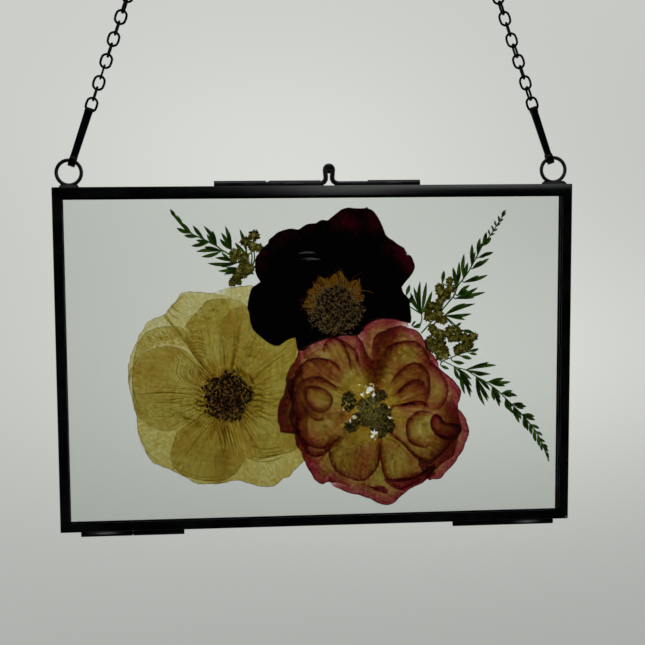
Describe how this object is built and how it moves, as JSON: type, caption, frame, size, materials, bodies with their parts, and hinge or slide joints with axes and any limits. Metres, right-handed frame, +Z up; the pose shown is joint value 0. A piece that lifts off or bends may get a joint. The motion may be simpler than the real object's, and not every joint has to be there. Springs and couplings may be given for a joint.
{
  "type": "pressed flower frame",
  "caption": "Hanging double-glass frame in black metal channel, with pressed flowers and fern sprigs between the panes, knuckle hinges below, a sliding bolt above and a link chain.",
  "frame": {"origin": "under the upper wire of the chain's middle link, where a nail or peg bears and holds the frame up", "axes": "+X to the viewer's right along the rails, +Y from the front pane to the back pane, +Z up"},
  "size_m": [0.153, 0.0068, 0.3124],
  "materials": {
    "black_metal": "black patina on soldered brass strip and wire, satin",
    "glass": "clear float glass, polished",
    "cream_petal": "dried petal, translucent, matte",
    "dark_petal": "dried petal, nearly opaque, matte with a faint bloom",
    "rose_petal": "dried petal, translucent, crimped, matte",
    "purple_heart": "dried stamens and florets, rough",
    "golden_heart": "dried stamens, rough",
    "olive_heart": "dried florets, rough",
    "sprig_green": "dried fern frond, matte",
    "dry_bud": "dried buds and bracts, matte"
  },
  "bodies": {
    "hanger": {"left_chain_run": "black_metal", "right_chain_run": "black_metal", "middle_chain_link": "black_metal", "left_bar_link": "black_metal", "right_bar_link": "black_metal"},
    "back_leaf": {"back_top_rail": "black_metal", "back_bottom_rail": "black_metal", "back_left_rail": "black_metal", "back_right_rail": "black_metal", "back_glass": "glass", "left_ring": "black_metal", "right_ring": "black_metal", "latch_keeper": "black_metal", "left_hinge_rear_knuckle": "black_metal", "right_hinge_rear_knuckle": "black_metal", "left_hinge_pin": "black_metal", "right_hinge_pin": "black_metal", "left_fern_sprig": "sprig_green", "right_upper_fern_sprig": "sprig_green", "right_lower_fern_sprig": "sprig_green", "left_bud_cluster": "dry_bud", "right_bud_cluster": "dry_bud", "cream_left_back_petal": "cream_petal", "cream_upper_left_back_petal": "cream_petal", "cream_top_back_petal": "cream_petal", "cream_lower_left_back_petal": "cream_petal", "cream_lower_right_back_petal": "cream_petal", "cream_upper_petal": "cream_petal", "cream_right_petal": "cream_petal", "cream_lower_right_petal": "cream_petal", "cream_lower_petal": "cream_petal", "cream_left_petal": "cream_petal", "cream_flower_heart": "purple_heart", "dark_bottom_petal": "dark_petal", "dark_lower_right_petal": "dark_petal", "dark_lower_left_petal": "dark_petal", "dark_right_petal": "dark_petal", "dark_upper_left_petal": "dark_petal", "dark_top_petal": "dark_petal", "dark_flower_heart": "golden_heart", "ruffled_far_left_petal": "rose_petal", "ruffled_bottom_back_petal": "rose_petal", "ruffled_right_back_petal": "rose_petal", "ruffled_top_back_petal": "rose_petal", "ruffled_lower_left_back_petal": "rose_petal", "ruffled_left_petal": "rose_petal", "ruffled_top_left_petal": "rose_petal", "ruffled_right_petal": "rose_petal", "ruffled_top_right_petal": "rose_petal", "ruffled_flower_heart": "olive_heart"},
    "front_leaf": {"front_top_rail": "black_metal", "front_bottom_rail": "black_metal", "front_left_rail": "black_metal", "front_right_rail": "black_metal", "front_glass": "glass", "latch_left_guide": "black_metal", "latch_right_guide": "black_metal", "left_hinge_front_knuckle": "black_metal", "right_hinge_front_knuckle": "black_metal"},
    "latch_bolt": {"latch_bolt_wire": "black_metal"}
  },
  "joints": [
    {"name": "ring_swing", "type": "hinge", "parent": "hanger", "child": "back_leaf", "pos_m": [0, 0, -0.20055], "axis": [1, 0, 0], "range_deg": [-90, 90]},
    {"name": "leaf_hinge", "type": "hinge", "parent": "back_leaf", "child": "front_leaf", "pos_m": [0, -0.00269, -0.31086], "axis": [1, 0, 0], "range_deg": [0, 180]},
    {"name": "latch_slide", "type": "slide", "parent": "front_leaf", "child": "latch_bolt", "axis": [1, 0, 0], "range_m": [0, 0.009]}
  ]
}
